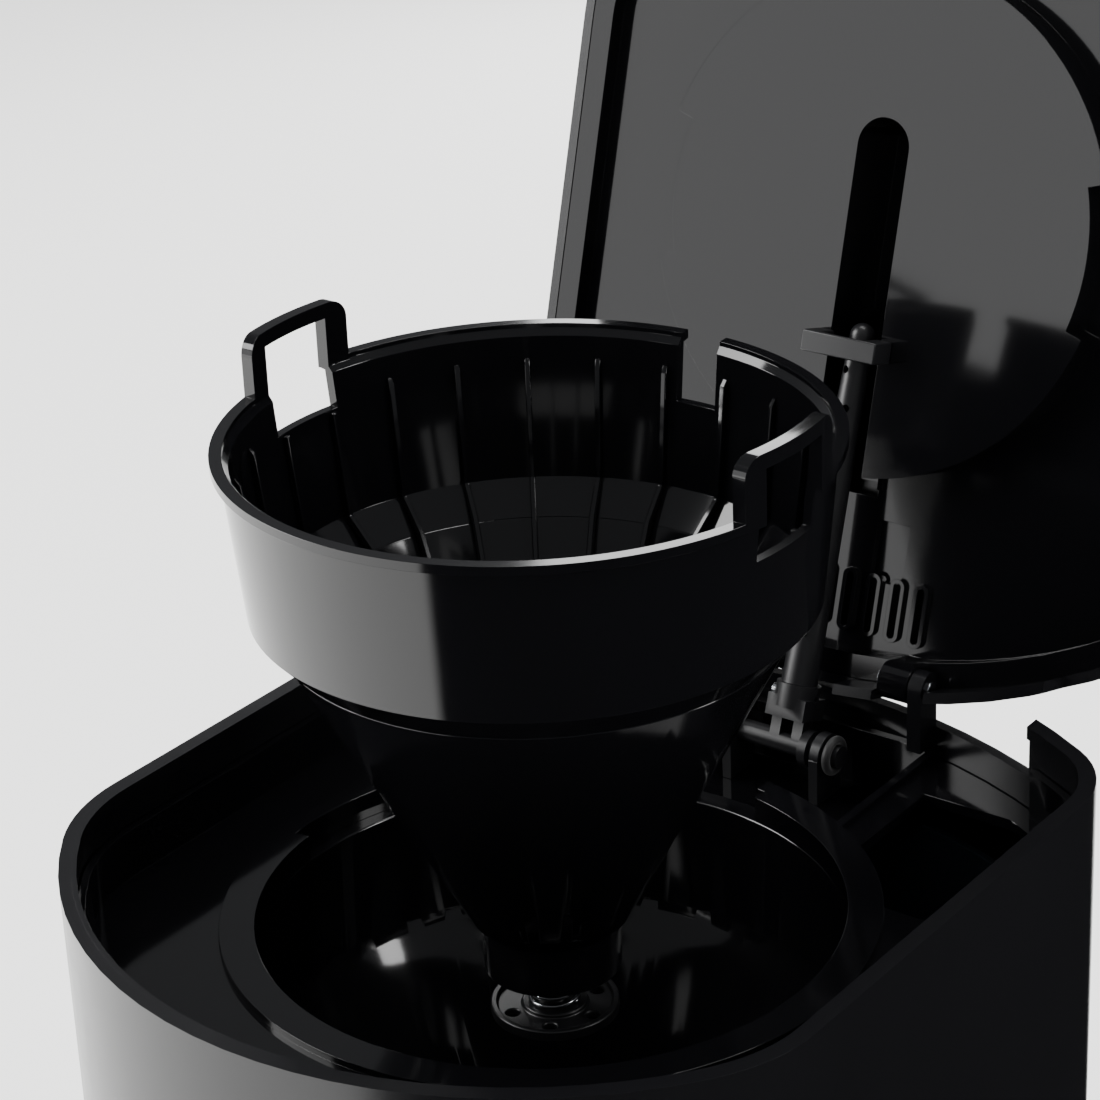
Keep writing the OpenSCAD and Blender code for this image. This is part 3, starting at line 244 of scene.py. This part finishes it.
def rounded_copy(node):
    """Joins equal corners (to a micrometre), dissolves flat edges, and bevels every edge sharper than EDGE_ANGLE."""
    source = frame["nodes"][node].data
    corners = np.empty(len(source.vertices) * 3, np.float32)
    source.vertices.foreach_get("co", corners)
    keys = np.round(corners.reshape(-1, 3) * 1e6).astype(np.int64)
    unique, first, index = np.unique(keys, axis=0, return_index=True, return_inverse=True)
    triangles = np.empty(len(source.loops), np.int32)
    source.loops.foreach_get("vertex_index", triangles)
    faces = index.reshape(-1)[triangles].reshape(-1, 3)
    whole = (faces[:, 0] != faces[:, 1]) & (faces[:, 1] != faces[:, 2]) & (faces[:, 2] != faces[:, 0])
    mesh = bpy.data.meshes.new(node + "_moulding")
    mesh.from_pydata(corners.reshape(-1, 3)[first].tolist(), [], faces[whole].tolist())
    shape = bmesh.new()
    shape.from_mesh(mesh)
    bmesh.ops.dissolve_limit(shape, angle_limit=FLAT_ANGLE, verts=shape.verts, edges=shape.edges)
    shape.to_mesh(mesh)
    shape.free()
    mesh.shade_smooth()
    piece = bpy.data.objects.new(node + "_moulding", mesh)
    bpy.context.collection.objects.link(piece)
    width = EDGE_MM.get(node, USUAL_EDGE_MM)
    if width:
        bevel = piece.modifiers.new("edge", "BEVEL")
        bevel.width = width * MM
        bevel.segments = 2
        bevel.limit_method = "ANGLE"
        bevel.angle_limit = EDGE_ANGLE
        bevel.use_clamp_overlap = True
        bevel.harden_normals = False
    mesh.set_sharp_from_angle(angle=EDGE_ANGLE)
    return piece


def dress(piece, node):
    """Rides the piece on the node's body, hides the node it replaces, and gives it its finish."""
    finish = FINISH[SLOT_OF[node]]
    if node in POLISHED:
        finish = polished_abs
    elif node in MATT:
        finish = matt_abs
    piece.data.materials.clear()
    piece.data.materials.append(finish)
    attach(piece, BODY_OF[node])
    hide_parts(node)
    return piece


# %% [markdown]
# ## Drawn pieces
# A wire is one section carried along a path. On a grid with one direction for the section and one for the path that
# is a few lines of array work, and a spring is then a formula and not a list of points. The floor is a grid too.

# %% Grid helper
def woven(name, grid, wrap_rows=False, wrap_columns=False):
    """A mesh with one quad per grid cell, wrapped where asked. Rows then columns turn outwards by the right hand."""
    rows, columns = grid.shape[:2]
    index = np.arange(rows * columns).reshape(rows, columns)
    index = np.vstack([index, index[:1]]) if wrap_rows else index
    index = np.hstack([index, index[:, :1]]) if wrap_columns else index
    quads = np.stack([index[:-1, :-1], index[:-1, 1:], index[1:, 1:], index[1:, :-1]], -1).reshape(-1, 4)
    mesh = bpy.data.meshes.new(name)
    mesh.from_pydata(grid.reshape(-1, 3).tolist(), [], quads.tolist())
    shape = bmesh.new()
    shape.from_mesh(mesh)
    bmesh.ops.remove_doubles(shape, verts=shape.verts, dist=1e-7)
    bmesh.ops.recalc_face_normals(shape, faces=shape.faces)
    shape.to_mesh(mesh)
    shape.free()
    mesh.shade_smooth()
    piece = bpy.data.objects.new(name, mesh)
    bpy.context.collection.objects.link(piece)
    return piece


def drawn_out(name, path, radius, sides=12):
    """Carries a circle along a path. One section axis is normal to the path and to a fixed direction, the other is
    their cross product. A point at each end closes the wire."""
    tangent = np.gradient(path, axis=0)
    tangent /= np.linalg.norm(tangent, axis=1)[:, None]
    across = np.cross(tangent, [0.0137, 0.0291, 1.0])
    across /= np.linalg.norm(across, axis=1)[:, None]
    up = np.cross(tangent, across)
    angle = np.linspace(0, 2 * np.pi, sides, endpoint=False)
    ring = across[:, None] * np.cos(angle)[:, None] + up[:, None] * np.sin(angle)[:, None]
    grid = path[:, None] + ring * radius
    ends = (np.repeat(path[:1][:, None], sides, 1), np.repeat(path[-1:][:, None], sides, 1))
    return woven(name, np.concatenate([ends[0], grid, ends[1]]), wrap_columns=True)


print("helpers ready")

# %% [markdown]
# ## The valve's spring
# A compression spring of 0.9 mm stainless wire pulls the drip valve shut. Its end turns lie flat so that it stands
# square, so the height stays level over the first and last part of the wire and rises evenly between them.

# %% Valve spring
low, high = (np.array(corner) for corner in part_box("valve_spring"))
WIRE_R = 0.45 * MM
coil_r = (high[0] - low[0]) / 2 - WIRE_R
TURNS = 5.5
FLAT_SHARE = 0.12
share = np.linspace(0, 1, 260)
angle = 2 * np.pi * TURNS * share
rise = np.clip((share - FLAT_SHARE) / (1 - 2 * FLAT_SHARE), 0, 1)
coil_path = np.stack([coil_r * np.cos(angle), coil_r * np.sin(angle),
                      low[2] + WIRE_R + (high[2] - low[2] - 2 * WIRE_R) * rise], -1)
dress(drawn_out("valve_coil", coil_path, WIRE_R), "valve_spring")
print("spring:", TURNS, "turns of", 2 * WIRE_R / MM, "mm wire")

# %% Rounded copies of every node that is still shown
edge_report = []
for node in sorted(BODY_OF):
    if not frame["nodes"][node].hide_render:
        piece = dress(rounded_copy(node), node)
        edge_report.append((node, len(piece.data.polygons)))
print("mouldings:", len(edge_report), "largest:", max(edge_report, key=lambda entry: entry[1]))

# %% [markdown]
# ## Floor and light
# Glossy black is drawn by what it mirrors. Seen from above, the basket's flank mirrors the table: white paper on the
# left and a black cloth on the right give it one long bright stripe with a sharp edge. Soft lights draw the rims, and
# a dim wide one in front fills the lid's inner face. The cloth is only there for mirrored rays, and the room is dark
# to them as well, so the black stays black while the paper stays white.

# %% Stage
FLOOR_HALF = 6.0
FLOOR_DROP = 0.2 * MM
floor_grid = np.stack(np.meshgrid(np.linspace(-FLOOR_HALF, FLOOR_HALF, 3), np.linspace(-FLOOR_HALF, FLOOR_HALF, 3),
                                  indexing="xy") + [np.full((3, 3), -FLOOR_DROP)], -1)
floor = woven("floor", floor_grid)
floor_material = bpy.data.materials.new("studio_paper")
floor_material.use_nodes = True
floor_tree = floor_material.node_tree
floor_tree.nodes.clear()
mirrored = add(floor_tree, "LightPath").outputs["Is Glossy Ray"]
place = add(floor_tree, "TexCoord").outputs["Object"]
across = add(floor_tree, "SeparateXYZ", {"Vector": place}).outputs["X"]
cloth = add(floor_tree, "MapRange", {"Value": across, "From Min": -0.04, "From Max": 0.0})
shown = add(floor_tree, "Math", {0: cloth.outputs["Result"], 1: mirrored}, operation="MULTIPLY")
cover = add(floor_tree, "Mix", {"Factor": shown.outputs["Value"], "A": linear("#fdfdfc"),
                                              "B": linear("#141415")}, data_type="RGBA")
paper = add(floor_tree, "BsdfDiffuse", {"Color": cover.outputs["Result"]})
add(floor_tree, "OutputMaterial", {"Surface": paper.outputs["BSDF"]})
floor.data.materials.append(floor_material)


def soft_light(name, place, aim, size, watts):
    """A rectangular area light at place, its face turned to aim; size and places in metres."""
    data = bpy.data.lights.new(name, "AREA")
    data.shape = "RECTANGLE"
    data.size, data.size_y = size
    data.energy = watts
    light = bpy.data.objects.new(name, data)
    bpy.context.collection.objects.link(light)
    away = np.array(place, float) - np.array(aim, float)
    away /= np.linalg.norm(away)
    side = np.cross([0, 0, 1], away)
    side /= np.linalg.norm(side)
    light.matrix_world = Matrix.Translation(place) @ Matrix((side, np.cross(away, side), away)).transposed().to_4x4()
    return light


AIM = (0.0, 0.0, 0.38)
soft_light("left_softbox", (-1.5, -0.9, 1.1), AIM, (0.9, 1.4), 42)
soft_light("right_strip", (1.4, 0.5, 0.9), AIM, (0.25, 1.4), 12)
soft_light("top_softbox", (0.0, 0.5, 1.9), AIM, (1.1, 0.6), 16)
soft_light("back_strip", (-0.9, 1.5, 0.9), AIM, (0.4, 1.4), 12)
soft_light("front_fill", (-1.15, -1.9, 0.5), AIM, (1.5, 1.3), 11)

world = bpy.data.worlds.new("studio")
bpy.context.scene.world = world
world.use_nodes = True
world.node_tree.nodes.clear()
mirrored = add(world.node_tree, "LightPath").outputs["Is Glossy Ray"]
open_sky = add(world.node_tree, "Background", {"Color": linear("#ffffff"), "Strength": 1.55})
dim_room = add(world.node_tree, "Background", {"Color": linear("#f4f6fa"), "Strength": 0.22})
mixed = add(world.node_tree, "MixShader", {0: mirrored, 1: open_sky.outputs["Background"],
                                           2: dim_room.outputs["Background"]})
add(world.node_tree, "OutputWorld", {"Surface": mixed.outputs["Shader"]})
